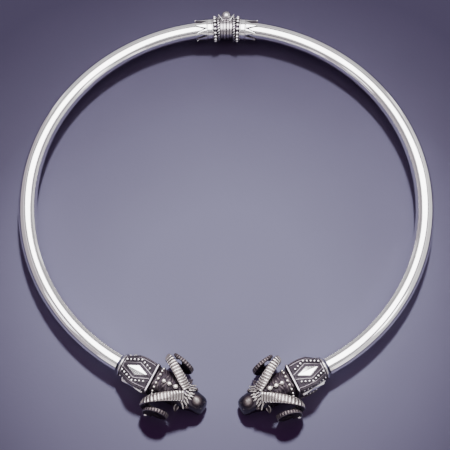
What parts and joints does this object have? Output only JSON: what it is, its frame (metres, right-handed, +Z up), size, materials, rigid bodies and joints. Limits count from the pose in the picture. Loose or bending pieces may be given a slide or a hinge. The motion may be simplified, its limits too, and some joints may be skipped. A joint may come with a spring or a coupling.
{
  "type": "hinged silver torc with ram's-head terminals",
  "caption": "Rigid round neck ring of polished silver tube, hinged at the back, ending in lozenge collars and facing ram's heads.",
  "frame": {"origin": "under the middle of the whole torc, on the surface that it lies on", "axes": "+Z up through the flat ring, +Y from the heads at the front towards the hinge at the back, +X towards the right half"},
  "size_m": [0.14, 0.1482, 0.0114],
  "materials": {
    "polished_silver": "mirror polished silver",
    "worked_silver": "polished raised silver over dark oxidised ground",
    "darkened_silver": "oxidised silver, bright where it is worn"
  },
  "bodies": {
    "left_half": {"hoop_left": "polished_silver", "hinge_collar_left": "worked_silver", "hinge_pin": "polished_silver", "terminal_collar_left": "worked_silver", "ram_head_left": "darkened_silver"},
    "right_half": {"hoop_right": "polished_silver", "hinge_collar_right": "worked_silver", "terminal_collar_right": "worked_silver", "ram_head_right": "darkened_silver"}
  },
  "joints": [
    {"name": "back_hinge", "type": "hinge", "parent": "left_half", "child": "right_half", "pos_m": [0.00003, 0.07237, 0], "axis": [0, 0, 1], "range_deg": [0, 55]}
  ]
}
